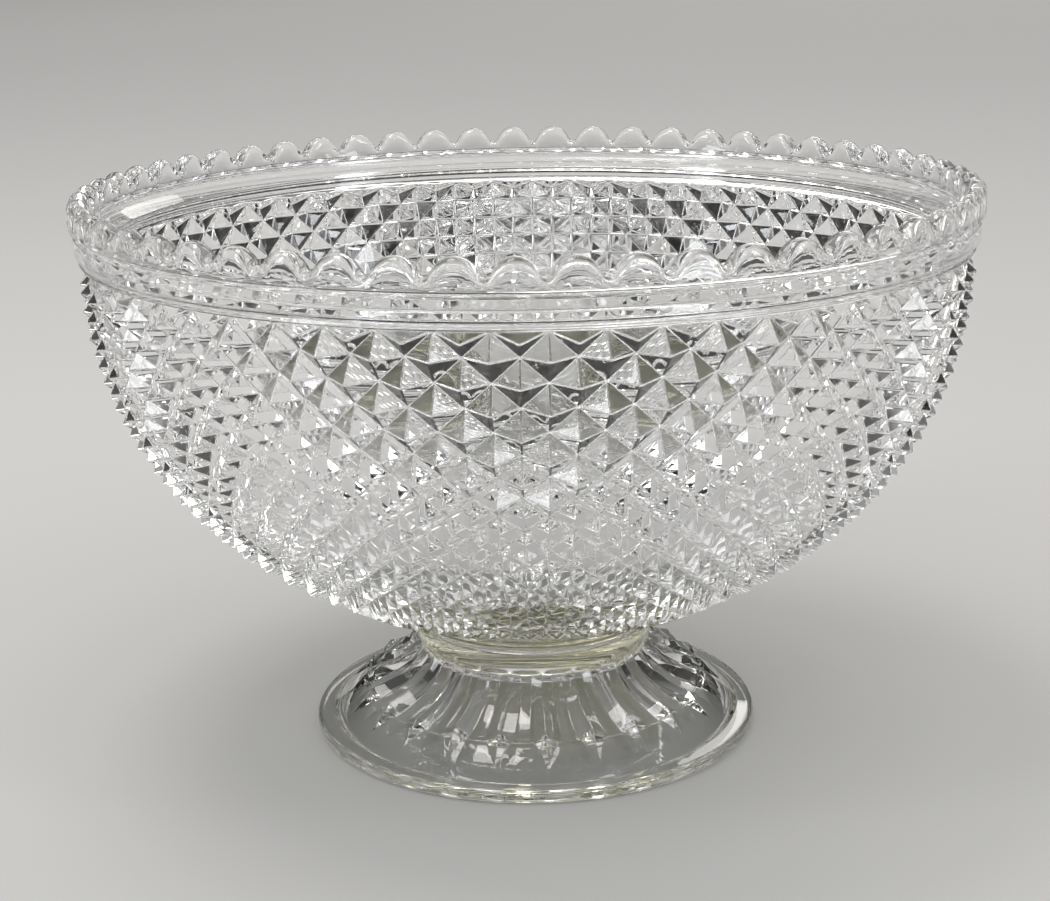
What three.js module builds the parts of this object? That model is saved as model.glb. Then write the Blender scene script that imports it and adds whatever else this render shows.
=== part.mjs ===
// Pressed clear glass fruit bowl on a foot.
// Units are millimetres, +Z is up, the origin is the middle of the ring the foot stands on.
import * as THREE from "three";

// Counts of the repeating pattern
const COLUMNS = 57;
const FOOT_RAYS = 24;
const SCALLOP_STEPS = 6;

// Heights of the whole object
const TOTAL_HEIGHT = 147;
const FOOT_TOP = 29.5;
const WAFER_THICKNESS = 4;

// Rim
const CREST_RADIUS = 112.5;
const RIM_THICKNESS = 5.4;
const SCALLOP_DEPTH = 4.9;
const SCALLOP_FILLET = 1.6;
const SCALLOP_PINCH = 0.45;
const GROOVE_DEPTH = 1.9;
const UPPER_GROOVE_DROP = 6.7;
const GROOVE_HEIGHT = 2;
const BAND_HEIGHT = 4.1;
const BAND_INSET = 0.9;
const GROOVE_SOFTNESS = 0.3;
const BAND_CROWN = 0.35;
const LIP_INSET = 1.9;
const LIP_HEIGHT = 0.6;
const BEVEL_DROP = 9.1;
const BEVEL_HEIGHT = 2.8;

// Wall of the bowl
const PATTERN_DROP = 16.3;
const VALLEY_INSET = 3.3;
const VALLEY_DIP = 1;
const WALL_ROUNDNESS = 2.1;
const WALL_THICKNESS = 3.2;
const BASE_THICKNESS = 6;
const PATTERN_END_RADIUS = 60;
const DIAMOND_ASPECT = 0.912;
const DIAMOND_STRETCH = 0.0088;
const FACET_SLOPE = 1.16;
const FACET_EASING = 0.006;
const PATTERN_TURN = 0.04;
const PATTERN_BANK = 1.2;

// Waist
const WAFER_RADIUS = 33.2;
const WAFER_ROUND = 1.1;
const NECK_RADIUS = 30.6;
const CONTACT_RADIUS = 29;
const COLLAR_HEIGHT = 1.1;
const COLLAR_WIDTH = 0.9;
const UNDERSIDE_SLOPE = 0.17;

// Foot
const FOOT_RADIUS = 59.7;
const FOOT_TURN = 4.5;
const FOOT_WALL = 5;
const NECK_DROP = 2.5;
const FLARE_BEND = 5;
const FLARE_TUCK = 0.6;
const PANEL_END = 0.74;
const COLLAR_RISE = 0.6;
const STEP_RADIUS = 45.4;
const STEP_HEIGHT = 11.8;
const STEP_WIDTH = 1;
const STEP_DROP = 1.2;
const RAY_TIP_RADIUS = 51.4;
const RAY_HEIGHT = 1.3;
const RAY_SHARE = 0.68;
const RAY_POINT_SHARE = 0.5;
const EDGE_TOP_RADIUS = 54.7;
const EDGE_TOP_HEIGHT = 3.5;
const EDGE_ROUND = 1.5;
const REST_OUTER_RADIUS = 58.2;
const REST_INNER_RADIUS = 51.2;

const TURN = 2 * Math.PI;
const PITCH = TURN / COLUMNS;
const FRONT = -Math.PI / 2;

// Collects the vertices and triangles of one closed body
class Body {
  constructor() {
    this.points = [];
    this.faces = [];
  }

  point(radius, angle, height) {
    this.points.push([radius * Math.cos(angle), radius * Math.sin(angle), height]);
    return this.points.length - 1;
  }

  ring(count, phase, radius, height) {
    const items = [];
    for (let k = 0; k < count; k += 1) {
      const angle = phase + (k * TURN) / count;
      const z = typeof height === "function" ? height(k) : height;
      items.push({ angle, index: this.point(radius, angle, z) });
    }
    return items;
  }

  // Joins two rings that follow each other along the profile
  stitch(first, second) {
    const a = first.length;
    const b = second.length;
    let shift = 0;
    let best = Infinity;
    for (let k = 0; k < b; k += 1) {
      const turn = (second[k].angle - first[0].angle) / TURN;
      const gap = Math.abs(turn - Math.round(turn));
      if (gap < best - 1e-9) {
        best = gap;
        shift = k;
      }
    }
    let i = 0;
    let j = 0;
    while (i < a || j < b) {
      const here = first[i % a].index;
      const there = second[(j + shift) % b].index;
      const stepFirst = j >= b || (i < a && (i + 0.5) / a <= (j + 0.5) / b);
      if (stepFirst) {
        this.faces.push([here, first[(i + 1) % a].index, there]);
        i += 1;
      } else {
        this.faces.push([here, second[(j + 1 + shift) % b].index, there]);
        j += 1;
      }
    }
  }

  // Closes a ring to a point on the axis, from below or from above
  capBelow(ring, height) {
    const middle = this.point(0, 0, height);
    ring.forEach((item, k) => {
      this.faces.push([middle, ring[(k + 1) % ring.length].index, item.index]);
    });
  }

  capAbove(ring, height) {
    const middle = this.point(0, 0, height);
    ring.forEach((item, k) => {
      this.faces.push([middle, item.index, ring[(k + 1) % ring.length].index]);
    });
  }

  geometry() {
    const geometry = new THREE.BufferGeometry();
    geometry.setAttribute("position", new THREE.Float32BufferAttribute(this.points.flat(), 3));
    geometry.setIndex(this.faces.flat());
    geometry.computeVertexNormals();
    return geometry;
  }
}

function glassMesh(name, body, colour) {
  const material = new THREE.MeshStandardMaterial({ color: colour, roughness: 0.04, metalness: 0 });
  const mesh = new THREE.Mesh(body.geometry(), material);
  mesh.name = name;
  return mesh;
}

// Shared levels
const waferTop = FOOT_TOP + WAFER_THICKNESS;
const patternTop = TOTAL_HEIGHT - PATTERN_DROP;
const valleyRadius = CREST_RADIUS - VALLEY_INSET;
const valleyDepth = patternTop - waferTop + VALLEY_DIP;
const innerRadius = valleyRadius - WALL_THICKNESS;
const innerDepth = patternTop - waferTop - BASE_THICKNESS;

// Rounded curve of a bowl wall, from its upper edge at 0 to its lowest point at a quarter turn
function wallPoint(radius, depth, angle) {
  const power = 2 / WALL_ROUNDNESS;
  const r = radius * Math.max(0, Math.cos(angle)) ** power;
  const z = patternTop - depth * Math.max(0, Math.sin(angle)) ** power;
  return [r, z];
}

function valleyPoint(angle) {
  return wallPoint(valleyRadius, valleyDepth, angle);
}

function valleyNormal(angle) {
  const [r0, z0] = valleyPoint(Math.max(0, angle - 0.01));
  const [r1, z1] = valleyPoint(angle + 0.01);
  const length = Math.hypot(r1 - r0, z1 - z0);
  return [(z0 - z1) / length, (r1 - r0) / length];
}

// Levels of the diamond lattice, each a share of its own radius below the one above
function latticeLevels() {
  const levels = [0];
  let angle = 0;
  let gone = 0;
  let here = valleyPoint(0);
  let wanted = DIAMOND_ASPECT * 0.5 * PITCH * here[0];
  while (valleyPoint(levels[levels.length - 1])[0] > PATTERN_END_RADIUS) {
    angle += 0.0005;
    const next = valleyPoint(angle);
    gone += Math.hypot(next[0] - here[0], next[1] - here[1]);
    here = next;
    if (gone >= wanted) {
      levels.push(angle);
      gone -= wanted;
      wanted = (DIAMOND_ASPECT + DIAMOND_STRETCH * (levels.length - 1)) * 0.5 * PITCH * here[0];
    }
  }
  return levels;
}

function buildBowl() {
  const body = new Body();
  const levels = latticeLevels();
  const last = levels.length - 1;
  const cusp = FRONT + PITCH / 2;
  const patternPhase = cusp + PATTERN_TURN * PITCH;

  // Height of a diamond of a given level above its valleys
  const riseOf = (level) => {
    const half = 0.5 * PITCH * valleyPoint(levels[level])[0];
    const aspect = DIAMOND_ASPECT + DIAMOND_STRETCH * level;
    return ((FACET_SLOPE - FACET_EASING * level) * half * aspect) / Math.hypot(1, aspect);
  };

  // Plain underside, from the joint with the wafer out to the end of the pattern
  const contact = body.ring(COLUMNS, cusp, CONTACT_RADIUS, waferTop);
  const [endR, endZ] = valleyPoint(levels[last]);
  const [endNR, endNZ] = valleyNormal(levels[last]);
  const plainR = endR + endNR * riseOf(last) + endNZ * PATTERN_BANK;
  const plainZ = endZ + endNZ * riseOf(last) - endNR * PATTERN_BANK;
  const collarR = NECK_RADIUS + COLLAR_WIDTH;
  const collarZ = waferTop + COLLAR_HEIGHT;
  const bendR = 0.5 * (plainR + collarR);
  const bendZ = collarZ + UNDERSIDE_SLOPE * (bendR - collarR);
  body.capBelow(contact, waferTop);
  let before = contact;
  for (const t of [0, 0.33, 0.66, 1]) {
    const r = collarR * (1 - t) ** 2 + 2 * bendR * t * (1 - t) + plainR * t ** 2;
    const z = collarZ * (1 - t) ** 2 + 2 * bendZ * t * (1 - t) + plainZ * t ** 2;
    const next = body.ring(COLUMNS, patternPhase + (last % 2) * PITCH * 0.5, r, z);
    body.stitch(before, next);
    before = next;
  }

  // Crossings of the lattice, every other level turned by half a column
  const crossings = levels.map((angle, level) => {
    const [r, z] = valleyPoint(angle);
    return body.ring(COLUMNS, patternPhase + (level % 2) * PITCH * 0.5, r, z);
  });

  // Diamonds with four sloping facets
  for (let level = 1; level < last; level += 1) {
    const [r, z] = valleyPoint(levels[level]);
    const [nr, nz] = valleyNormal(levels[level]);
    const rise = riseOf(level);
    for (let k = 0; k < COLUMNS; k += 1) {
      const left = crossings[level][k].index;
      const right = crossings[level][(k + 1) % COLUMNS].index;
      const middle = (k + (level % 2)) % COLUMNS;
      const top = crossings[level - 1][middle].index;
      const bottom = crossings[level + 1][middle].index;
      const angle = crossings[level][k].angle + 0.5 * PITCH;
      const apex = body.point(r + nr * rise, angle, z + nz * rise);
      body.faces.push([apex, bottom, right], [apex, right, top], [apex, top, left], [apex, left, bottom]);
    }
  }

  // Half diamonds with three facets under the rim
  const [topR, topZ] = valleyPoint(levels[0]);
  const [tipR, tipZ] = valleyPoint(levels[1]);
  const [topNR, topNZ] = valleyNormal(levels[0]);
  const topHalf = 0.5 * PITCH * topR;
  const topHeight = Math.hypot(tipR - topR, tipZ - topZ);
  const topInner = (topHalf * topHeight) / (topHalf + Math.hypot(topHalf, topHeight));
  const topShare = topInner / topHeight;
  const topRise = FACET_SLOPE * topInner;
  for (let k = 0; k < COLUMNS; k += 1) {
    const left = crossings[0][k].index;
    const right = crossings[0][(k + 1) % COLUMNS].index;
    const tip = crossings[1][k].index;
    const angle = crossings[0][k].angle + 0.5 * PITCH;
    const middleR = topR + (tipR - topR) * topShare;
    const middleZ = topZ + (tipZ - topZ) * topShare;
    const apex = body.point(middleR + topNR * topRise, angle, middleZ + topNZ * topRise);
    body.faces.push([apex, tip, right], [apex, right, left], [apex, left, tip]);
  }

  // Half diamonds that run out into the plain underside
  const endRise = riseOf(last);
  for (let k = 0; k < COLUMNS; k += 1) {
    const next = (k + 1) % COLUMNS;
    const left = crossings[last][k].index;
    const right = crossings[last][next].index;
    const tip = crossings[last - 1][(k + (last % 2)) % COLUMNS].index;
    const angle = crossings[last][k].angle + 0.5 * PITCH;
    const apex = body.point(endR + endNR * endRise, angle, endZ + endNZ * endRise);
    body.faces.push([apex, right, tip], [apex, tip, left]);
    body.faces.push([before[k].index, before[next].index, apex]);
    body.faces.push([before[k].index, apex, left], [before[next].index, right, apex]);
  }

  // Thin lip over the pattern, lower groove, plain band and upper groove
  const outerRadius = CREST_RADIUS + 0.5 * RIM_THICKNESS;
  const grooveRadius = outerRadius - GROOVE_DEPTH - BAND_INSET;
  const bandRadius = outerRadius - BAND_INSET;
  const upperTop = TOTAL_HEIGHT - UPPER_GROOVE_DROP;
  const bandTop = upperTop - GROOVE_HEIGHT;
  const bandBottom = bandTop - BAND_HEIGHT;
  const lowerBottom = bandBottom - GROOVE_HEIGHT;
  const lipOuter = outerRadius - LIP_INSET;
  const profile = [
    [lipOuter - GROOVE_SOFTNESS, lowerBottom - LIP_HEIGHT],
    [lipOuter, lowerBottom - 0.5 * LIP_HEIGHT],
    [lipOuter - GROOVE_SOFTNESS, lowerBottom],
    [grooveRadius, lowerBottom + GROOVE_SOFTNESS],
    [grooveRadius, bandBottom - GROOVE_SOFTNESS],
    [bandRadius - BAND_CROWN, bandBottom + GROOVE_SOFTNESS],
    [bandRadius, 0.5 * (bandTop + bandBottom)],
    [bandRadius - BAND_CROWN, bandTop - GROOVE_SOFTNESS],
    [grooveRadius, bandTop + GROOVE_SOFTNESS],
    [grooveRadius, upperTop - GROOVE_SOFTNESS],
    [outerRadius - GROOVE_SOFTNESS, upperTop + 0.5 * GROOVE_SOFTNESS],
  ];
  before = crossings[0];
  for (const [r, z] of profile) {
    const next = body.ring(COLUMNS, cusp, r, z);
    body.stitch(before, next);
    before = next;
  }

  // Scallops: a half-round bead that follows a row of arches with filleted dips between them
  const steps = COLUMNS * SCALLOP_STEPS;
  const halfWidth = 0.5 * PITCH * CREST_RADIUS;
  const span = (halfWidth ** 2 + SCALLOP_DEPTH ** 2) / (2 * SCALLOP_DEPTH);
  const archRadius = span - SCALLOP_FILLET;
  const archBase = TOTAL_HEIGHT - archRadius;
  const dipBase = archBase + Math.sqrt(span ** 2 - halfWidth ** 2);
  const bead = 0.5 * RIM_THICKNESS;
  const crest = (k) => {
    const side = Math.abs((2 * (k % SCALLOP_STEPS)) / SCALLOP_STEPS - 1) * halfWidth;
    if (side <= (halfWidth * archRadius) / span) {
      return archBase + Math.sqrt(archRadius ** 2 - side ** 2);
    }
    return dipBase - Math.sqrt(SCALLOP_FILLET ** 2 - (halfWidth - side) ** 2);
  };
  for (const degrees of [0, 40, 90, 140, 180]) {
    const turn = (degrees * Math.PI) / 180;
    const inset = bead * (1 - Math.sin(turn));
    const lift = (k) => {
      const dip = (TOTAL_HEIGHT - crest(k)) / SCALLOP_DEPTH;
      return crest(k) - inset * (1 - SCALLOP_PINCH * dip);
    };
    const next = body.ring(steps, cusp, CREST_RADIUS + bead * Math.cos(turn), lift);
    body.stitch(before, next);
    before = next;
  }

  // Smooth inside with a bevelled ledge under the rim
  const lipRadius = CREST_RADIUS - bead;
  const bevelTop = TOTAL_HEIGHT - BEVEL_DROP;
  const inside = [
    [lipRadius, upperTop],
    [lipRadius, bevelTop],
    [innerRadius, bevelTop - BEVEL_HEIGHT],
  ];
  for (const share of [0.15, 0.3, 0.45, 0.6, 0.75, 0.9]) {
    inside.push(wallPoint(innerRadius, innerDepth, share * 0.5 * Math.PI));
  }
  for (const [r, z] of inside) {
    const next = body.ring(COLUMNS, cusp, r, z);
    body.stitch(before, next);
    before = next;
  }
  body.capAbove(before, patternTop - innerDepth);
  return glassMesh("bowl", body, 0xe9ecea);
}

function buildWafer() {
  const body = new Body();
  const count = 54;
  const middle = 0.5 * (FOOT_TOP + waferTop);
  const profile = [
    [CONTACT_RADIUS, FOOT_TOP],
    [WAFER_RADIUS - WAFER_ROUND, FOOT_TOP + 0.25 * WAFER_ROUND],
    [WAFER_RADIUS - 0.25 * WAFER_ROUND, FOOT_TOP + WAFER_ROUND],
    [WAFER_RADIUS, middle],
    [WAFER_RADIUS - 0.25 * WAFER_ROUND, waferTop - WAFER_ROUND],
    [WAFER_RADIUS - WAFER_ROUND, waferTop - 0.25 * WAFER_ROUND],
    [CONTACT_RADIUS, waferTop],
  ];
  let before = null;
  for (const [r, z] of profile) {
    const next = body.ring(count, FRONT, r, z);
    if (before) {
      body.stitch(before, next);
    } else {
      body.capBelow(next, z);
    }
    before = next;
  }
  body.capAbove(before, waferTop);
  return glassMesh("wafer", body, 0xe6eae4);
}

function buildFoot() {
  const body = new Body();
  const rayPitch = TURN / FOOT_RAYS;
  const start = FRONT + (FOOT_TURN * Math.PI) / 180;
  const count = FOOT_RAYS * 2;
  const neckHeight = FOOT_TOP - NECK_DROP;

  // Curve of the flare between the step and the neck
  const flare = (t) => {
    const controlRadius = NECK_RADIUS - FLARE_TUCK;
    const controlHeight = STEP_HEIGHT + FLARE_BEND;
    const r = STEP_RADIUS * (1 - t) ** 2 + 2 * controlRadius * t * (1 - t) + NECK_RADIUS * t ** 2;
    const z = STEP_HEIGHT * (1 - t) ** 2 + 2 * controlHeight * t * (1 - t) + neckHeight * t ** 2;
    return [r, z];
  };
  const flareNormal = (t) => {
    const [r0, z0] = flare(t - 0.01);
    const [r1, z1] = flare(t + 0.01);
    const length = Math.hypot(r1 - r0, z1 - z0);
    return [(z1 - z0) / length, (r0 - r1) / length];
  };

  // Hollow underside, one wall below the flare
  const hollowTop = FOOT_TOP - FOOT_WALL;
  const domeRadius = NECK_RADIUS - FOOT_WALL;
  const domeHeight = hollowTop - flare(0.7)[1] + FOOT_WALL * flareNormal(0.7)[1];
  const profile = [];
  for (const share of [0.3, 0.6, 0.85]) {
    profile.push([domeRadius * share, hollowTop - domeHeight * (1 - Math.sqrt(1 - share ** 2))]);
  }
  for (const t of [0.7, 0.55, 0.4, 0.2, 0]) {
    const [r, z] = flare(t);
    const [nr, nz] = flareNormal(t);
    profile.push([r - nr * FOOT_WALL, z - nz * FOOT_WALL]);
  }
  profile.push([REST_INNER_RADIUS, 0]);

  // Flat ring the bowl rests on and the rounded edge
  profile.push([REST_OUTER_RADIUS, 0]);
  for (const degrees of [-45, 0, 45, 85]) {
    const turn = (degrees * Math.PI) / 180;
    const edgeMiddle = degrees > 0 ? EDGE_TOP_HEIGHT - EDGE_ROUND : EDGE_ROUND;
    const edgeR = FOOT_RADIUS - EDGE_ROUND * (1 - Math.cos(turn));
    profile.push([edgeR, edgeMiddle + EDGE_ROUND * Math.sin(turn)]);
  }
  profile.push([EDGE_TOP_RADIUS, EDGE_TOP_HEIGHT]);
  let before = null;
  for (const [r, z] of profile) {
    const next = body.ring(count, start, r, z);
    if (before) {
      body.stitch(before, next);
    } else {
      body.capBelow(next, hollowTop);
    }
    before = next;
  }

  // Top of the foot: margin, small step, then the flare with raised rays
  const stepFoot = STEP_RADIUS + STEP_WIDTH;
  const marginTop = STEP_HEIGHT - STEP_DROP;
  const marginLength = Math.hypot(EDGE_TOP_RADIUS - stepFoot, marginTop - EDGE_TOP_HEIGHT);
  const marginNormal = [(marginTop - EDGE_TOP_HEIGHT) / marginLength, (EDGE_TOP_RADIUS - stepFoot) / marginLength];
  const tipShare = (EDGE_TOP_RADIUS - RAY_TIP_RADIUS) / (EDGE_TOP_RADIUS - stepFoot);
  const tipHeight = EDGE_TOP_HEIGHT + (marginTop - EDGE_TOP_HEIGHT) * tipShare;
  const rows = [
    { at: [RAY_TIP_RADIUS, tipHeight], out: marginNormal, rise: 0, panel: 0, share: 0.02 },
    { at: [stepFoot, marginTop], out: marginNormal, rise: RAY_HEIGHT, panel: 0, share: RAY_POINT_SHARE },
    { at: [STEP_RADIUS, STEP_HEIGHT], out: flareNormal(0), rise: RAY_HEIGHT, panel: 0, share: RAY_SHARE },
  ];
  for (const t of [0.25, 0.5, PANEL_END]) {
    const rise = RAY_HEIGHT + (COLLAR_RISE - RAY_HEIGHT) * (t / PANEL_END);
    rows.push({ at: flare(t), out: flareNormal(t), rise, panel: 0, share: RAY_SHARE });
  }
  for (const t of [PANEL_END + 0.06, 0.97]) {
    rows.push({ at: flare(t), out: flareNormal(t), rise: COLLAR_RISE, panel: COLLAR_RISE, share: RAY_SHARE });
  }
  for (const { at, out, rise, panel, share } of rows) {
    const side = 0.5 * rayPitch * share;
    const raised = (angle, up) => ({ angle, index: body.point(at[0] + out[0] * up, angle, at[1] + out[1] * up) });
    const items = [];
    for (let k = 0; k < FOOT_RAYS; k += 1) {
      const middle = start + k * rayPitch;
      items.push(raised(middle, rise), raised(middle + side, panel));
      items.push(raised(middle + 0.5 * rayPitch, panel), raised(middle + rayPitch - side, panel));
    }
    body.stitch(before, items);
    before = items;
  }
  const cove = [
    [NECK_RADIUS + COLLAR_RISE, FOOT_TOP - 0.5 * NECK_DROP],
    [NECK_RADIUS, FOOT_TOP - 0.2 * NECK_DROP],
    [CONTACT_RADIUS, FOOT_TOP],
  ];
  for (const [r, z] of cove) {
    const next = body.ring(count, start, r, z);
    body.stitch(before, next);
    before = next;
  }
  body.capAbove(before, FOOT_TOP);
  return glassMesh("foot", body, 0xe4e8e2);
}

const bowl = new THREE.Group();
bowl.name = "fruit_bowl";
bowl.add(buildBowl(), buildWafer(), buildFoot());

export default bowl;
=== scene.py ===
# Looks of a clear pressed-glass fruit bowl on a foot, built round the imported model.
import math

import bpy
from mathutils import Matrix, Vector


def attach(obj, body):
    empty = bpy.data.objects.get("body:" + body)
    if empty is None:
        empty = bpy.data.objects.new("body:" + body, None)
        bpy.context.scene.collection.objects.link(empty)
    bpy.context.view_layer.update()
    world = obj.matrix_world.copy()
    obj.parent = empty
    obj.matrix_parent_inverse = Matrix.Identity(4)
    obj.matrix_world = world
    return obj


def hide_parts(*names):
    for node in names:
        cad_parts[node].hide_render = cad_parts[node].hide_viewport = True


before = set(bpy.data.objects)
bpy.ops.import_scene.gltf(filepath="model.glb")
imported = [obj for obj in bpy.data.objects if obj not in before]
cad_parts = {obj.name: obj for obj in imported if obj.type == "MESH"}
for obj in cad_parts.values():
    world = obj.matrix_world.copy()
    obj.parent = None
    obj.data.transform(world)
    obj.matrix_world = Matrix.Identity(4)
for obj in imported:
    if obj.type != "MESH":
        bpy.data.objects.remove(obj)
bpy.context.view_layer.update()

MM = 0.001
TURN = 2.0 * math.pi
QUARTER = 0.5 * math.pi
FRONT = -QUARTER

# Counts of the pattern and of the rows and columns that round it off
COLUMNS = 57
FOOT_RAYS = 24
SCALLOP_STEPS = 20
GROOVE_STEPS = 6
WALL_STEPS = 6
UNDERSIDE_STEPS = 4
UNDERSIDE_ROWS = 16
RIM_SECTIONS = 22
INSIDE_ROWS = 64
WAFER_STEPS = 288
DOME_ROWS = 24
FLARE_ROWS = 40
FIRST_FLARE_ROW = 4
EDGE_STEPS = 8
GROOVE_CORNER_STEPS = 3
FACET_SEGMENTS = 3
PITCH = TURN / COLUMNS
CUSP = FRONT + 0.5 * PITCH

# Limits and steps of the curves
CORNER_LIMIT = 0.4
SUPPORT_REACH = 1.15
SLOPE_STEP = 0.01
LEVEL_STEP = 0.0005
NEAR_TIE = 1e-9

# Sizes in millimetres, with shares and angles among them
TOTAL_HEIGHT = 147.0
FOOT_TOP = 29.5
WAFER_TOP = 33.5

CREST_RADIUS = 112.5
RIM_THICKNESS = 5.4
SCALLOP_DEPTH = 4.3
SCALLOP_FILLET = 1.6
SCALLOP_PINCH = 0.45
UPPER_GROOVE_DROP = 6.7
GROOVE_HEIGHT = 2.0
BAND_HEIGHT = 4.1
BAND_INSET = 0.9
GROOVE_ROUND = 0.2
GROOVE_FLOOR = 113.0
LIP_INSET = 1.9
LIP_HEIGHT = 0.6
LIP_DRAFT = 0.25
CROWN = 0.1
RIM_DRAFT = 0.05
RIM_LEAD = 0.15
PATTERN_LEAD = 0.5
BEVEL_DROP = 9.1
BEVEL_HEIGHT = 2.8
LEDGE_LEAD = 0.1
LEDGE_ROUND = 0.6

PATTERN_DROP = 16.3
VALLEY_INSET = 3.3
VALLEY_OVERRUN = 1.0
WALL_THICKNESS = 3.2
BASE_THICKNESS = 6.0
WALL_ROUNDNESS = 2.1
PATTERN_TOP = TOTAL_HEIGHT - PATTERN_DROP
VALLEY_RADIUS = CREST_RADIUS - VALLEY_INSET
VALLEY_DEPTH = PATTERN_TOP - WAFER_TOP + VALLEY_OVERRUN
INNER_RADIUS = VALLEY_RADIUS - WALL_THICKNESS
INNER_DEPTH = PATTERN_TOP - WAFER_TOP - BASE_THICKNESS
PATTERN_END_RADIUS = 60.0
DIAMOND_ASPECT = 0.912
DIAMOND_STRETCH = 0.0088
FACET_SLOPE = 1.16
FACET_EASING = 0.006
PATTERN_TURN = 0.04
PATTERN_BANK = 1.2
FACET_ROUND = 0.65
VALLEY_SHARE = 0.4

WAFER_RADIUS = 33.2
WAFER_ROUND = 1.1
WAFER_EASE = 0.25
WAFER_LEAD = 0.3
WAFER_CROWN = 0.02
NECK_RADIUS = 30.6
CONTACT_RADIUS = 29.0
COLLAR_HEIGHT = 1.1
COLLAR_WIDTH = 0.9
COLLAR_LEAD = 0.08
COLLAR_ROUND = 0.5
UNDERSIDE_SLOPE = 0.17
JOINT_GAP = 0.01

FOOT_RADIUS = 59.7
FOOT_TURN_DEGREES = 4.5
FOOT_TURN = math.radians(FOOT_TURN_DEGREES)
FOOT_WALL = 5.0
NECK_DROP = 2.5
FLARE_BEND = 5.0
FLARE_TUCK = 0.6
FLARE_END = 0.98
DOME_END = 0.7
PANEL_END = 0.78
PANEL_BANK = 0.06
COLLAR_RISE = 0.6
WAIST_START = 0.8
WAIST_END = 0.4
WAIST_LEAD = 0.4
WAIST_DROP = 0.1
WAIST_ROUND = 0.6
STEP_RADIUS = 45.4
STEP_HEIGHT = 11.8
STEP_WIDTH = 1.0
STEP_DROP = 1.2
STEP_ROUND = 0.3
STEP_LEAD = 0.06
RAY_TIP_RADIUS = 51.4
RAY_HEIGHT = 1.3
PANEL_SINK = 0.7
RAY_SHARE = 0.68
RAY_POINT_SHARE = 0.5
RAY_ROUND = 0.2
RAY_SUPPORT = 1.4
SOFT_LIMIT = 0.25
PLAIN_SHARE = 0.5
LEAST_SHARE = 0.04
MARGIN_LEAD = 1.0
EDGE_TOP_RADIUS = 55.2
EDGE_TOP_HEIGHT = 3.5
EDGE_ROUND = 1.5
EDGE_LEAD = 0.1
REST_INNER_RADIUS = 51.2
REST_ROUND = 0.7

GLASS_SLOT = 0
JOINT_SLOT = 1


class Body:
    """Collects rings of points and the faces between them, in millimetres."""

    def __init__(self):
        self.points = []
        self.faces = []
        self.slots = []
        self.creases = {}

    def point(self, radius, angle, height):
        self.points.append((radius * math.cos(angle), radius * math.sin(angle), height))
        return len(self.points) - 1

    def face(self, corners, slot=GLASS_SLOT):
        self.faces.append(tuple(corners))
        self.slots.append(slot)

    def ring(self, count, phase, radius, height):
        items = []
        for k in range(count):
            angle = phase + k * TURN / count
            z = height(k) if callable(height) else height
            items.append((angle, self.point(radius, angle, z)))
        return items

    def band(self, first, second):
        """Joins two rings of the same count with quads."""
        count = len(first)
        for k in range(count):
            n = (k + 1) % count
            self.face((first[k][1], first[n][1], second[n][1], second[k][1]))

    def stitch(self, first, second):
        """Joins two rings of any counts, with triangles where the counts differ."""
        a = len(first)
        b = len(second)
        if a == b and abs(first[0][0] - second[0][0]) < 0.5 * TURN / a:
            self.band(first, second)
            return
        shift = 0
        best = 1.0
        for k in range(b):
            turn = (second[k][0] - first[0][0]) / TURN
            gap = abs(turn - round(turn))
            if gap < best - NEAR_TIE:
                best = gap
                shift = k
        i = 0
        j = 0
        while i < a or j < b:
            here = first[i % a][1]
            there = second[(j + shift) % b][1]
            if j >= b or (i < a and (i + 0.5) / a <= (j + 0.5) / b):
                self.face((here, first[(i + 1) % a][1], there))
                i += 1
            else:
                self.face((here, second[(j + 1 + shift) % b][1], there))
                j += 1

    def revolve(self, before, path, count, phase):
        """Carries a ring along a profile and gives back the last ring."""
        for r, z in path:
            after = self.ring(count, phase, r, z)
            self.stitch(before, after)
            before = after
        return before

    def cap(self, ring, height, below, slot=GLASS_SLOT):
        middle = self.point(0.0, 0.0, height)
        count = len(ring)
        for k in range(count):
            here = ring[k][1]
            after = ring[(k + 1) % count][1]
            corners = (middle, after, here) if below else (middle, here, after)
            self.face(corners, slot)

    def facet(self, apex, a, b, share=1.0):
        """One sloping triangle of a diamond, whose ridges are rounded wider than its valley."""
        self.face((apex, a, b))
        for first, second, weight in ((apex, a, share), (apex, b, share), (a, b, share * VALLEY_SHARE)):
            self.creases[(min(first, second), max(first, second))] = weight

    def mesh(self, name):
        mesh = bpy.data.meshes.new(name)
        points = [(x * MM, y * MM, z * MM) for x, y, z in self.points]
        mesh.from_pydata(points, [], self.faces)
        mesh.polygons.foreach_set("material_index", self.slots)
        mesh.polygons.foreach_set("use_smooth", [True] * len(self.faces))
        if self.creases:
            weights = mesh.attributes.new("bevel_weight_edge", "FLOAT", "EDGE")
            values = [0.0] * len(mesh.edges)
            for edge in mesh.edges:
                a, b = edge.vertices
                values[edge.index] = self.creases.get((min(a, b), max(a, b)), 0.0)
            weights.data.foreach_set("value", values)
        mesh.update()
        return mesh


def toward(start, end, reach):
    share = reach / math.dist(start, end)
    return tuple(a + (b - a) * share for a, b in zip(start, end))


def bend(start, corner, end, t):
    """Point of the curve that leaves start and reaches end along the two sides of a corner."""
    sides = zip(start, corner, end)
    return tuple((1 - t) ** 2 * a + 2 * t * (1 - t) * b + t * t * c for a, b, c in sides)


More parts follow.
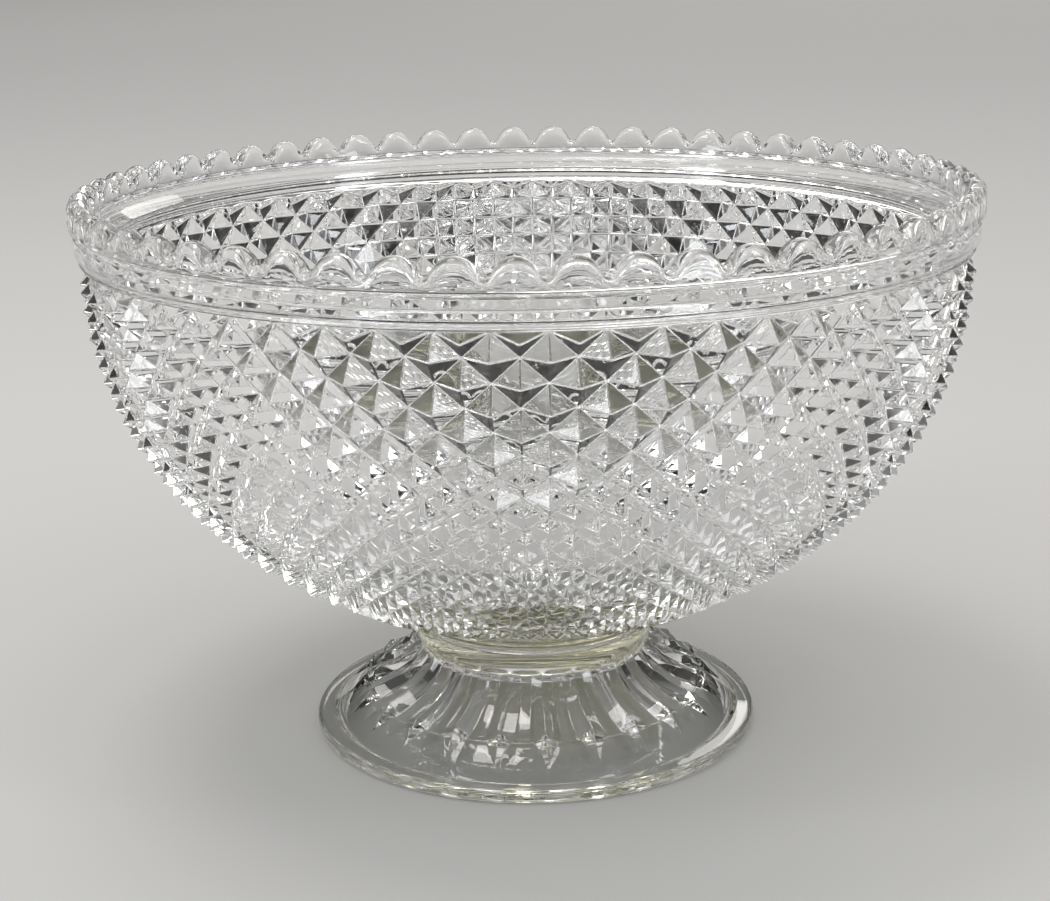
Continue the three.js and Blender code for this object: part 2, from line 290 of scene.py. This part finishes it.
def rounded(corners, radius, steps=4):
    """Profile with its inner corners rounded and a support point on both sides of each round."""
    path = [corners[0]]
    for before, corner, after in zip(corners, corners[1:], corners[2:]):
        room = min(math.dist(before, corner), math.dist(corner, after))
        reach = min(radius, CORNER_LIMIT * room)
        start = toward(corner, before, reach)
        end = toward(corner, after, reach)
        path.append(toward(corner, before, SUPPORT_REACH * reach))
        path.extend(bend(start, corner, end, k / steps) for k in range(steps + 1))
        path.append(toward(corner, after, SUPPORT_REACH * reach))
    path.append(corners[-1])
    return path


def cove(start, end, floor, steps=6):
    """Points of a hollow round between two edges, down to a floor radius."""
    corner = (2.0 * floor - 0.5 * (start[0] + end[0]), 0.5 * (start[1] + end[1]))
    return [bend(start, corner, end, k / steps) for k in range(1, steps)]


def arc(middle, radius, start, end, steps):
    """Points of a round, from one angle in degrees to another."""
    path = []
    for k in range(steps + 1):
        turn = math.radians(start + (end - start) * k / steps)
        path.append((middle[0] + radius * math.cos(turn), middle[1] + radius * math.sin(turn)))
    return path


def normal_of(curve, t):
    """Outward normal of a profile that runs upwards."""
    r0, z0 = curve(t - SLOPE_STEP)
    r1, z1 = curve(t + SLOPE_STEP)
    length = math.hypot(r1 - r0, z1 - z0)
    return (z1 - z0) / length, (r0 - r1) / length


# Curves of the bowl wall, from the upper edge of the pattern at 0 to the lowest point at a quarter turn
def wall_point(radius, depth, angle):
    power = 2.0 / WALL_ROUNDNESS
    r = radius * max(0.0, math.cos(angle)) ** power
    z = PATTERN_TOP - depth * max(0.0, math.sin(angle)) ** power
    return r, z


def valley_point(angle):
    return wall_point(VALLEY_RADIUS, VALLEY_DEPTH, angle)


def valley_normal(angle):
    r0, z0 = valley_point(max(0.0, angle - SLOPE_STEP))
    r1, z1 = valley_point(angle + SLOPE_STEP)
    length = math.hypot(r1 - r0, z1 - z0)
    return (z0 - z1) / length, (r1 - r0) / length


def lattice_levels():
    """Angles of the rows of crossings, each a share of its own radius below the one above."""
    levels = [0.0]
    angle = 0.0
    gone = 0.0
    here = valley_point(0.0)
    wanted = DIAMOND_ASPECT * 0.5 * PITCH * here[0]
    while valley_point(levels[-1])[0] > PATTERN_END_RADIUS:
        angle += LEVEL_STEP
        after = valley_point(angle)
        gone += math.dist(here, after)
        here = after
        if gone >= wanted:
            levels.append(angle)
            gone -= wanted
            wanted = (DIAMOND_ASPECT + DIAMOND_STRETCH * (len(levels) - 1)) * 0.5 * PITCH * here[0]
    return levels


def rise_of(level, angle):
    """Height of a diamond above its valleys."""
    half = 0.5 * PITCH * valley_point(angle)[0]
    aspect = DIAMOND_ASPECT + DIAMOND_STRETCH * level
    return (FACET_SLOPE - FACET_EASING * level) * half * aspect / math.hypot(1.0, aspect)


def crest_height(k):
    """Height of the scalloped crest at a column: round arches with filleted dips between them."""
    half_width = 0.5 * PITCH * CREST_RADIUS
    span = (half_width ** 2 + SCALLOP_DEPTH ** 2) / (2 * SCALLOP_DEPTH)
    arch = span - SCALLOP_FILLET
    base = TOTAL_HEIGHT - arch
    side = abs(2.0 * (k % SCALLOP_STEPS) / SCALLOP_STEPS - 1.0) * half_width
    if side <= half_width * arch / span:
        return base + math.sqrt(arch ** 2 - side ** 2)
    dip = base + math.sqrt(span ** 2 - half_width ** 2)
    return dip - math.sqrt(SCALLOP_FILLET ** 2 - (half_width - side) ** 2)


def build_bowl():
    body = Body()
    levels = lattice_levels()
    last = len(levels) - 1
    phase = CUSP + PATTERN_TURN * PITCH

    # Plain underside
    fine = COLUMNS * UNDERSIDE_STEPS
    joint = body.ring(fine, phase, CONTACT_RADIUS, WAFER_TOP + JOINT_GAP)
    body.cap(joint, WAFER_TOP + JOINT_GAP, True, JOINT_SLOT)
    end_r, end_z = valley_point(levels[last])
    end_nr, end_nz = valley_normal(levels[last])
    end_rise = rise_of(last, levels[last])
    plain = (
        end_r + end_nr * end_rise + end_nz * PATTERN_BANK,
        end_z + end_nz * end_rise - end_nr * PATTERN_BANK,
    )
    collar = (NECK_RADIUS + COLLAR_WIDTH, WAFER_TOP + COLLAR_HEIGHT)
    middle_r = 0.5 * (plain[0] + collar[0])
    middle = (middle_r, collar[1] + UNDERSIDE_SLOPE * (middle_r - collar[0]))
    joint_edge = (CONTACT_RADIUS, WAFER_TOP + JOINT_GAP)
    under = rounded([joint_edge, collar, bend(collar, middle, plain, COLLAR_LEAD)], COLLAR_ROUND)[1:]
    under += [bend(collar, middle, plain, k / UNDERSIDE_ROWS) for k in range(2, UNDERSIDE_ROWS + 1)]
    before = body.revolve(joint, under, fine, phase)

    # Crossings of the diamond lattice
    crossings = []
    for level, angle in enumerate(levels):
        r, z = valley_point(angle)
        crossings.append(body.ring(COLUMNS, phase + (level % 2) * 0.5 * PITCH, r, z))

    # Half diamonds that run out into the underside
    border = []
    for k in range(COLUMNS):
        angle, left = crossings[last][k]
        right = crossings[last][(k + 1) % COLUMNS][1]
        tip = crossings[last - 1][(k + last % 2) % COLUMNS][1]
        apex = body.point(end_r + end_nr * end_rise, angle + 0.5 * PITCH, end_z + end_nz * end_rise)
        body.facet(apex, right, tip, end_r / VALLEY_RADIUS)
        body.facet(apex, tip, left, end_r / VALLEY_RADIUS)
        border.append((angle, left))
        border.append((angle + 0.5 * PITCH, apex))
    body.stitch(before, border)

    # Whole diamonds
    for level in range(1, last):
        r, z = valley_point(levels[level])
        nr, nz = valley_normal(levels[level])
        rise = rise_of(level, levels[level])
        for k in range(COLUMNS):
            angle, left = crossings[level][k]
            right = crossings[level][(k + 1) % COLUMNS][1]
            across = (k + level % 2) % COLUMNS
            top = crossings[level - 1][across][1]
            bottom = crossings[level + 1][across][1]
            apex = body.point(r + nr * rise, angle + 0.5 * PITCH, z + nz * rise)
            body.facet(apex, bottom, right, r / VALLEY_RADIUS)
            body.facet(apex, right, top, r / VALLEY_RADIUS)
            body.facet(apex, top, left, r / VALLEY_RADIUS)
            body.facet(apex, left, bottom, r / VALLEY_RADIUS)

    # Half diamonds under the rim
    top_r, top_z = valley_point(levels[0])
    tip_r, tip_z = valley_point(levels[1])
    top_nr, top_nz = valley_normal(levels[0])
    half = 0.5 * PITCH * top_r
    height = math.hypot(tip_r - top_r, tip_z - top_z)
    inner = half * height / (half + math.hypot(half, height))
    share = inner / height
    rise = FACET_SLOPE * inner
    apex_r = top_r + (tip_r - top_r) * share + top_nr * rise
    apex_z = top_z + (tip_z - top_z) * share + top_nz * rise
    for k in range(COLUMNS):
        angle, left = crossings[0][k]
        right = crossings[0][(k + 1) % COLUMNS][1]
        tip = crossings[1][k][1]
        apex = body.point(apex_r, angle + 0.5 * PITCH, apex_z)
        body.facet(apex, tip, right)
        body.facet(apex, right, left)
        body.facet(apex, left, tip)

    # Thin lip over the pattern, grooves and plain band
    bead = 0.5 * RIM_THICKNESS
    outer = CREST_RADIUS + bead
    band = outer - BAND_INSET
    upper_top = TOTAL_HEIGHT - UPPER_GROOVE_DROP
    band_top = upper_top - GROOVE_HEIGHT
    band_bottom = band_top - BAND_HEIGHT
    lower_bottom = band_bottom - GROOVE_HEIGHT
    lip_outer = outer - LIP_INSET
    lip_low = (lip_outer - LIP_DRAFT, lower_bottom - LIP_HEIGHT)
    lip_high = (lip_outer - CROWN, lower_bottom)
    band_low = (band - CROWN, band_bottom)
    band_high = (band - CROWN, band_top)
    rim_low = (outer - RIM_DRAFT, upper_top)
    corners = [
        toward((top_r, top_z), lip_low, PATTERN_LEAD),
        lip_low,
        (lip_outer, lower_bottom - 0.5 * LIP_HEIGHT),
        lip_high,
    ]
    corners += cove(lip_high, band_low, GROOVE_FLOOR)
    corners += [band_low, (band, 0.5 * (band_top + band_bottom)), band_high]
    corners += cove(band_high, rim_low, GROOVE_FLOOR)
    corners += [rim_low, (outer, upper_top + RIM_LEAD)]
    profile = rounded(corners, GROOVE_ROUND, GROOVE_CORNER_STEPS)
    before = body.revolve(crossings[0], profile, COLUMNS * GROOVE_STEPS, CUSP)

    # Scalloped rim with a half-round section
    columns = COLUMNS * SCALLOP_STEPS
    crests = [crest_height(k) for k in range(SCALLOP_STEPS)]
    dips = [(TOTAL_HEIGHT - crest) / SCALLOP_DEPTH for crest in crests]
    for section in range(RIM_SECTIONS + 1):
        turn = math.pi * section / RIM_SECTIONS
        inset = bead * (1.0 - math.sin(turn))

        def lift(k, inset=inset):
            column = k % SCALLOP_STEPS
            return crests[column] - inset * (1.0 - SCALLOP_PINCH * dips[column])

        after = body.ring(columns, CUSP, CREST_RADIUS + bead * math.cos(turn), lift)
        body.stitch(before, after)
        before = after

    # Smooth inside with a bevelled ledge
    lip = CREST_RADIUS - bead
    bevel_top = TOTAL_HEIGHT - BEVEL_DROP
    ledge = rounded([
        (lip, upper_top - LEDGE_LEAD),
        (lip, bevel_top),
        (INNER_RADIUS, bevel_top - BEVEL_HEIGHT),
        (INNER_RADIUS, PATTERN_TOP),
    ], LEDGE_ROUND)
    before = body.revolve(before, ledge, COLUMNS * GROOVE_STEPS, CUSP)
    turns = [QUARTER * k / INSIDE_ROWS for k in range(1, INSIDE_ROWS - 1)]
    inside = [wall_point(INNER_RADIUS, INNER_DEPTH, turn) for turn in turns]
    before = body.revolve(before, inside, COLUMNS * WALL_STEPS, CUSP)
    body.cap(before, PATTERN_TOP - INNER_DEPTH, False)
    return body


def build_wafer():
    body = Body()
    low = FOOT_TOP + JOINT_GAP
    high = WAFER_TOP - JOINT_GAP
    ease = WAFER_EASE * WAFER_ROUND
    joint = body.ring(WAFER_STEPS, FRONT, CONTACT_RADIUS, low)
    body.cap(joint, low, True, JOINT_SLOT)
    side = rounded([
        (CONTACT_RADIUS + WAFER_LEAD, low + WAFER_CROWN),
        (WAFER_RADIUS - WAFER_ROUND, FOOT_TOP + ease),
        (WAFER_RADIUS - ease, FOOT_TOP + WAFER_ROUND),
        (WAFER_RADIUS, 0.5 * (low + high)),
        (WAFER_RADIUS - ease, WAFER_TOP - WAFER_ROUND),
        (WAFER_RADIUS - WAFER_ROUND, WAFER_TOP - ease),
        (CONTACT_RADIUS + WAFER_LEAD, high - WAFER_CROWN),
    ], WAFER_ROUND)
    side.append((CONTACT_RADIUS, high))
    before = body.revolve(joint, side, WAFER_STEPS, FRONT)
    body.cap(before, high, False, JOINT_SLOT)
    return body


def flare(t):
    """Profile of the panels of the foot, from the step at 0 to the neck at 1."""
    step = (STEP_RADIUS, STEP_HEIGHT)
    corner = (NECK_RADIUS - FLARE_TUCK, STEP_HEIGHT + FLARE_BEND)
    neck = (NECK_RADIUS, FOOT_TOP - NECK_DROP)
    return bend(step, corner, neck, t)


def ray_columns(side, soft, pitch):
    """Angles across one ray and the panel beside it, and how far each stands up the ray, from 0 to 1."""
    support = RAY_SUPPORT * soft
    places = [0.0, 0.5 * soft, soft, support, 0.5 * side, side - support, side - soft, side]
    places += [side + soft, side + support, 0.5 * (side + 0.5 * pitch), 0.5 * pitch]
    columns = []
    for place in places:
        if place < soft:
            rise = 1.0 - (place ** 2 + soft ** 2) / (2.0 * soft * side)
        elif place < side - soft:
            rise = 1.0 - place / side
        elif place < side + soft:
            rise = (place - side - soft) ** 2 / (4.0 * soft * side)
        else:
            rise = 0.0
        columns.append((place, rise))
    mirrored = [(pitch - place, rise) for place, rise in reversed(columns[1:-1])]
    return columns + mirrored


def build_foot():
    body = Body()
    pitch = TURN / FOOT_RAYS
    start = FRONT + FOOT_TURN

    def row(r, z, out=(0.0, 0.0), rise=0.0, panel=0.0, share=PLAIN_SHARE):
        side = 0.5 * pitch * share
        soft = min(RAY_ROUND / r, SOFT_LIMIT * side)
        ring = []
        for k in range(FOOT_RAYS):
            for place, up in ray_columns(side, soft, pitch):
                angle = start + k * pitch + place
                lift = panel + (rise - panel) * up
                ring.append((angle, body.point(r + out[0] * lift, angle, z + out[1] * lift)))
        return ring

    # Hollow underside, resting ring and rounded edge
    hollow_top = FOOT_TOP - FOOT_WALL
    dome_radius = NECK_RADIUS - FOOT_WALL
    dome_height = hollow_top - flare(DOME_END)[1] + FOOT_WALL * normal_of(flare, DOME_END)[1]
    path = []
    for k in range(1, DOME_ROWS):
        share = math.sin(QUARTER * k / DOME_ROWS)
        drop = dome_height * (1.0 - math.sqrt(1.0 - share ** 2))
        path.append((dome_radius * share, hollow_top - drop))
    for k in range(DOME_ROWS + 1):
        t = DOME_END * (1.0 - k / DOME_ROWS)
        r, z = flare(t)
        nr, nz = normal_of(flare, t)
        path.append((r - nr * FOOT_WALL, z - nz * FOOT_WALL))
    edge_middle = FOOT_RADIUS - EDGE_ROUND
    rest = [path[-1], (REST_INNER_RADIUS, 0.0), (edge_middle - EDGE_LEAD, 0.0)]
    path = path[:-1] + rounded(rest, REST_ROUND)
    path += arc((edge_middle, EDGE_ROUND), EDGE_ROUND, -90, 0, EDGE_STEPS)
    path += arc((edge_middle, EDGE_TOP_HEIGHT - EDGE_ROUND), EDGE_ROUND, 0, 90, EDGE_STEPS)
    before = row(*path[0])
    body.cap(before, hollow_top, True)
    for r, z in path[1:]:
        after = row(r, z)
        body.band(before, after)
        before = after

    # Margin with the points of the rays, the step, then the panels between the rays
    step_foot = STEP_RADIUS + STEP_WIDTH
    margin_top = STEP_HEIGHT - STEP_DROP
    tip_share = (EDGE_TOP_RADIUS - RAY_TIP_RADIUS) / (EDGE_TOP_RADIUS - step_foot)
    corners = [
        (edge_middle - EDGE_LEAD, EDGE_TOP_HEIGHT),
        (EDGE_TOP_RADIUS, EDGE_TOP_HEIGHT),
        (RAY_TIP_RADIUS, EDGE_TOP_HEIGHT + (margin_top - EDGE_TOP_HEIGHT) * tip_share),
        (step_foot, margin_top),
        (STEP_RADIUS, STEP_HEIGHT),
        flare(STEP_LEAD),
    ]
    step_out = normal_of(flare, 0.0)
    for r, z in rounded(corners, STEP_ROUND):
        reach = (RAY_TIP_RADIUS - r) / (RAY_TIP_RADIUS - step_foot)
        if reach <= 0.0:
            share = LEAST_SHARE if r < EDGE_TOP_RADIUS - MARGIN_LEAD else PLAIN_SHARE
            after = row(r, z, share=share)
        elif reach < 1.0:
            share = max(LEAST_SHARE, RAY_POINT_SHARE * reach)
            after = row(r, z, step_out, RAY_HEIGHT * reach, 0.0, share)
        else:
            sink = PANEL_SINK * min(1.0, max(0.0, (step_foot - r) / STEP_WIDTH))
            after = row(r, z, step_out, RAY_HEIGHT, -sink, RAY_SHARE)
        body.band(before, after)
        before = after
    for k in range(FIRST_FLARE_ROW, FLARE_ROWS + 1):
        t = FLARE_END * k / FLARE_ROWS
        climb = min(1.0, t / PANEL_END)
        bank = min(1.0, max(0.0, (t - PANEL_END) / PANEL_BANK))
        panel = (COLLAR_RISE + PANEL_SINK) * bank * bank * (3.0 - 2.0 * bank) - PANEL_SINK
        rise = RAY_HEIGHT + (COLLAR_RISE - RAY_HEIGHT) * climb
        after = row(*flare(t), normal_of(flare, t), rise, panel, RAY_SHARE)
        body.band(before, after)
        before = after
    waist = rounded([
        (NECK_RADIUS + COLLAR_RISE, FOOT_TOP - WAIST_START * NECK_DROP),
        (NECK_RADIUS + COLLAR_RISE, FOOT_TOP - WAIST_END * NECK_DROP),
        (CONTACT_RADIUS + WAIST_LEAD, FOOT_TOP - WAIST_DROP),
    ], WAIST_ROUND)
    waist.append((CONTACT_RADIUS, FOOT_TOP - JOINT_GAP))
    for r, z in waist:
        after = row(r, z, share=RAY_SHARE)
        body.band(before, after)
        before = after
    body.cap(before, FOOT_TOP - JOINT_GAP, False, JOINT_SLOT)
    return body


# Looks of the glass, with heights in metres
TINT = (0.90, 0.897, 0.815, 1.0)
TINT_DENSITY = 1.4
CLEAR = (1.0, 1.0, 1.0, 1.0)
GLASS_IOR = 1.5
SHADOW_COLOUR = (0.78, 0.785, 0.775, 1.0)
WAVE_SCALE = 70.0
WAVE_STRENGTH = 0.008
WAVE_HEIGHT = 0.0006
HAZE_SCALE = 90.0
HAZE_DETAIL = 4.0
HAZE_FROM = 0.55
HAZE_TO = 0.8
HAZE_ROUGHNESS = 0.04
SCORE_SCALE = 900.0
SCORE_STRENGTH = 0.35
SCORE_HEIGHT = 0.0004
SCORE_INSET = 0.9
SCORE_FULL_INSET = 0.2


def add_tint(tree, output):
    depth = tree.nodes.new("ShaderNodeVolumeAbsorption")
    depth.inputs["Color"].default_value = TINT
    depth.inputs["Density"].default_value = TINT_DENSITY
    tree.links.new(depth.outputs["Volume"], output.inputs["Volume"])


def add_striations(tree, place, bump):
    """Fine upright lines left by the mould on the outer face of the foot's edge."""
    nodes = tree.nodes
    links = tree.links
    split = nodes.new("ShaderNodeSeparateXYZ")
    links.new(place.outputs["Object"], split.inputs["Vector"])
    flat = nodes.new("ShaderNodeCombineXYZ")
    links.new(split.outputs["X"], flat.inputs["X"])
    links.new(split.outputs["Y"], flat.inputs["Y"])
    reach = nodes.new("ShaderNodeVectorMath")
    reach.operation = "LENGTH"
    links.new(flat.outputs["Vector"], reach.inputs[0])
    edge = nodes.new("ShaderNodeMapRange")
    edge.inputs["From Min"].default_value = (FOOT_RADIUS - SCORE_INSET) * MM
    edge.inputs["From Max"].default_value = (FOOT_RADIUS - SCORE_FULL_INSET) * MM
    links.new(reach.outputs["Value"], edge.inputs["Value"])
    lines = nodes.new("ShaderNodeTexNoise")
    lines.inputs["Scale"].default_value = SCORE_SCALE
    lines.inputs["Detail"].default_value = 1.0
    links.new(flat.outputs["Vector"], lines.inputs["Vector"])
    height = nodes.new("ShaderNodeMath")
    height.operation = "MULTIPLY"
    links.new(lines.outputs["Fac"], height.inputs[0])
    links.new(edge.outputs["Result"], height.inputs[1])
    scored = nodes.new("ShaderNodeBump")
    scored.inputs["Strength"].default_value = SCORE_STRENGTH
    scored.inputs["Distance"].default_value = SCORE_HEIGHT
    links.new(height.outputs["Value"], scored.inputs["Height"])
    links.new(bump.outputs["Normal"], scored.inputs["Normal"])
    return scored


def glass_material(name, striated):
    material = bpy.data.materials.new(name)
    material.use_nodes = True
    tree = material.node_tree
    tree.nodes.clear()
    nodes = tree.nodes
    links = tree.links
    output = nodes.new("ShaderNodeOutputMaterial")
    shader = nodes.new("ShaderNodeBsdfPrincipled")
    shader.inputs["Transmission Weight"].default_value = 1.0
    shader.inputs["IOR"].default_value = GLASS_IOR
    shader.inputs["Base Color"].default_value = CLEAR
    place = nodes.new("ShaderNodeTexCoord")
    waves = nodes.new("ShaderNodeTexNoise")
    waves.inputs["Scale"].default_value = WAVE_SCALE
    waves.inputs["Detail"].default_value = 1.0
    links.new(place.outputs["Object"], waves.inputs["Vector"])
    bump = nodes.new("ShaderNodeBump")
    bump.inputs["Strength"].default_value = WAVE_STRENGTH
    bump.inputs["Distance"].default_value = WAVE_HEIGHT
    links.new(waves.outputs["Fac"], bump.inputs["Height"])
    surface = add_striations(tree, place, bump) if striated else bump
    links.new(surface.outputs["Normal"], shader.inputs["Normal"])
    wear = nodes.new("ShaderNodeTexNoise")
    wear.inputs["Scale"].default_value = HAZE_SCALE
    wear.inputs["Detail"].default_value = HAZE_DETAIL
    links.new(place.outputs["Object"], wear.inputs["Vector"])
    haze = nodes.new("ShaderNodeMapRange")
    haze.inputs["From Min"].default_value = HAZE_FROM
    haze.inputs["From Max"].default_value = HAZE_TO
    haze.inputs["To Min"].default_value = 0.0
    haze.inputs["To Max"].default_value = HAZE_ROUGHNESS
    links.new(wear.outputs["Fac"], haze.inputs["Value"])
    links.new(haze.outputs["Result"], shader.inputs["Roughness"])
    clear = nodes.new("ShaderNodeBsdfTransparent")
    clear.inputs["Color"].default_value = SHADOW_COLOUR
    path = nodes.new("ShaderNodeLightPath")
    mix = nodes.new("ShaderNodeMixShader")
    links.new(path.outputs["Is Shadow Ray"], mix.inputs["Fac"])
    links.new(shader.outputs["BSDF"], mix.inputs[1])
    links.new(clear.outputs["BSDF"], mix.inputs[2])
    links.new(mix.outputs["Shader"], output.inputs["Surface"])
    add_tint(tree, output)
    return material


def joint_material():
    material = bpy.data.materials.new("fused_joint")
    material.use_nodes = True
    tree = material.node_tree
    tree.nodes.clear()
    output = tree.nodes.new("ShaderNodeOutputMaterial")
    clear = tree.nodes.new("ShaderNodeBsdfTransparent")
    tree.links.new(clear.outputs["BSDF"], output.inputs["Surface"])
    add_tint(tree, output)
    return material


def add_piece(body, name, node, materials):
    mesh = body.mesh(name)
    for material in materials:
        mesh.materials.append(material)
    piece = bpy.data.objects.new(name, mesh)
    bpy.context.scene.collection.objects.link(piece)
    if body.creases:
        rounding = piece.modifiers.new("rounding", "BEVEL")
        rounding.limit_method = "WEIGHT"
        rounding.offset_type = "WIDTH"
        rounding.width = FACET_ROUND * MM
        rounding.segments = FACET_SEGMENTS
        rounding.use_clamp_overlap = True
        rounding.harden_normals = True
        graph = bpy.context.evaluated_depsgraph_get()
        finished = bpy.data.meshes.new_from_object(piece.evaluated_get(graph))
        piece.modifiers.clear()
        piece.data = finished
    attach(piece, "root")
    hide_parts(node)


glass = glass_material("clear_glass", False)
foot_glass = glass_material("foot_glass", True)
fused = joint_material()
add_piece(build_bowl(), "glass_bowl", "bowl", (glass, fused))
add_piece(build_wafer(), "glass_wafer", "wafer", (glass, fused))
add_piece(build_foot(), "glass_foot", "foot", (foot_glass, fused))


# Plain pale floor, with its reach and drop in metres
FLOOR_REACH = 9.0
FLOOR_DROP = 0.00002
FLOOR_COLOUR = (0.6, 0.592, 0.578, 1.0)
FLOOR_ROUGHNESS = 0.9
FLOOR_GLOSS = 0.2


def add_floor():
    mesh = bpy.data.meshes.new("floor")
    signs = ((-1, -1), (1, -1), (1, 1), (-1, 1))
    corners = [(x * FLOOR_REACH, y * FLOOR_REACH, 0.0) for x, y in signs]
    mesh.from_pydata(corners, [], [(0, 1, 2, 3)])
    floor = bpy.data.objects.new("floor", mesh)
    floor.location = (0.0, 0.0, -FLOOR_DROP)
    bpy.context.scene.collection.objects.link(floor)
    material = bpy.data.materials.new("pale_floor")
    material.use_nodes = True
    shader = material.node_tree.nodes["Principled BSDF"]
    shader.inputs["Base Color"].default_value = FLOOR_COLOUR
    shader.inputs["Roughness"].default_value = FLOOR_ROUGHNESS
    shader.inputs["Specular IOR Level"].default_value = FLOOR_GLOSS
    mesh.materials.append(material)


add_floor()


# Soft studio light
def add_lamp(name, place, target, size, power, colour):
    data = bpy.data.lights.new(name, "AREA")
    data.shape = "RECTANGLE"
    data.size, data.size_y = size
    data.energy = power
    data.color = colour
    lamp = bpy.data.objects.new(name, data)
    lamp.location = place
    aim = Vector(target) - Vector(place)
    lamp.rotation_euler = aim.to_track_quat("-Z", "Y").to_euler()
    bpy.context.scene.collection.objects.link(lamp)


WARM = (1.0, 0.97, 0.93)
COOL = (0.94, 0.97, 1.0)
BOWL_MIDDLE = (0.0, 0.0, 0.1)
FOOT_MIDDLE = (0.0, 0.0, 0.05)
add_lamp("top_softbox", (-0.3, 0.1, 1.5), FOOT_MIDDLE, size=(0.6, 0.45), power=7.0, colour=WARM)
add_lamp("left_window", (-2.5, -1.7, 1.9), BOWL_MIDDLE, size=(0.52, 3.2), power=42.0, colour=COOL)
add_lamp("right_window", (2.5, -1.7, 1.9), BOWL_MIDDLE, size=(0.52, 3.2), power=36.0, colour=COOL)
add_lamp("back_softbox", (1.0, 4.6, 2.8), BOWL_MIDDLE, size=(2.4, 1.4), power=30.0, colour=WARM)

# Studio walls that grow brighter overhead
LOW_SKY_AT = 0.3
LOW_SKY = (0.025, 0.024, 0.023, 1.0)
HIGH_SKY_AT = 0.9
HIGH_SKY = (0.8, 0.8, 0.8, 1.0)

world = bpy.data.worlds.new("studio")
bpy.context.scene.world = world
world.use_nodes = True
world_nodes = world.node_tree.nodes
world_links = world.node_tree.links
sky = world_nodes["Background"]
sky.inputs["Strength"].default_value = 1.0
direction = world_nodes.new("ShaderNodeTexCoord")
split = world_nodes.new("ShaderNodeSeparateXYZ")
world_links.new(direction.outputs["Generated"], split.inputs["Vector"])
ramp = world_nodes.new("ShaderNodeValToRGB")
ramp.color_ramp.elements[0].position = LOW_SKY_AT
ramp.color_ramp.elements[0].color = LOW_SKY
ramp.color_ramp.elements[1].position = HIGH_SKY_AT
ramp.color_ramp.elements[1].color = HIGH_SKY
world_links.new(split.outputs["Z"], ramp.inputs["Fac"])
world_links.new(ramp.outputs["Color"], sky.inputs["Color"])

# Bounces enough for light to cross both walls of the glass
GLASS_BOUNCES = 18
GLOSSY_BOUNCES = 10
SHADOW_LAYERS = 32

scene = bpy.context.scene
scene.view_settings.view_transform = "Standard"
scene.cycles.caustics_refractive = False
scene.cycles.caustics_reflective = False
scene.cycles.max_bounces = GLASS_BOUNCES
scene.cycles.transmission_bounces = GLASS_BOUNCES
scene.cycles.glossy_bounces = GLOSSY_BOUNCES
scene.cycles.transparent_max_bounces = SHADOW_LAYERS

# Camera at the photograph's viewing angle
DISTANCE_IN_RADII = 4.4013
RISE_IN_RADII = 0.6121
TURN_DEGREES = 1.24
UNIT = CREST_RADIUS * MM
AZIMUTH = math.radians(TURN_DEGREES)
DISTANCE = DISTANCE_IN_RADII * UNIT
HEIGHT = TOTAL_HEIGHT * MM + RISE_IN_RADII * UNIT
YAW = -0.0031
PITCH_DOWN = 0.2786
ROLL = 0.0186
FOCAL_PIXELS = 1934.9
IMAGE_WIDTH = 1050.0
SENSOR_WIDTH = 36.0
CLIP_START = 0.01

level = math.cos(PITCH_DOWN)
forward = Vector((math.sin(YAW) * level, math.cos(YAW) * level, -math.sin(PITCH_DOWN)))
right = Vector((math.cos(YAW), -math.sin(YAW), 0.0))
up = right.cross(forward)
rolled_right = math.cos(ROLL) * right - math.sin(ROLL) * up
rolled_up = math.sin(ROLL) * right + math.cos(ROLL) * up
spin = Matrix.Rotation(AZIMUTH, 3, "Z")
axes = Matrix((spin @ rolled_right, spin @ rolled_up, spin @ -forward)).transposed()
camera_data = bpy.data.cameras.new("camera")
camera_data.sensor_fit = "HORIZONTAL"
camera_data.sensor_width = SENSOR_WIDTH
camera_data.lens = FOCAL_PIXELS / IMAGE_WIDTH * SENSOR_WIDTH
camera_data.clip_start = CLIP_START
camera = bpy.data.objects.new("camera", camera_data)
camera.matrix_world = Matrix.Translation(spin @ Vector((0.0, -DISTANCE, HEIGHT))) @ axes.to_4x4()
scene.collection.objects.link(camera)
scene.camera = camera
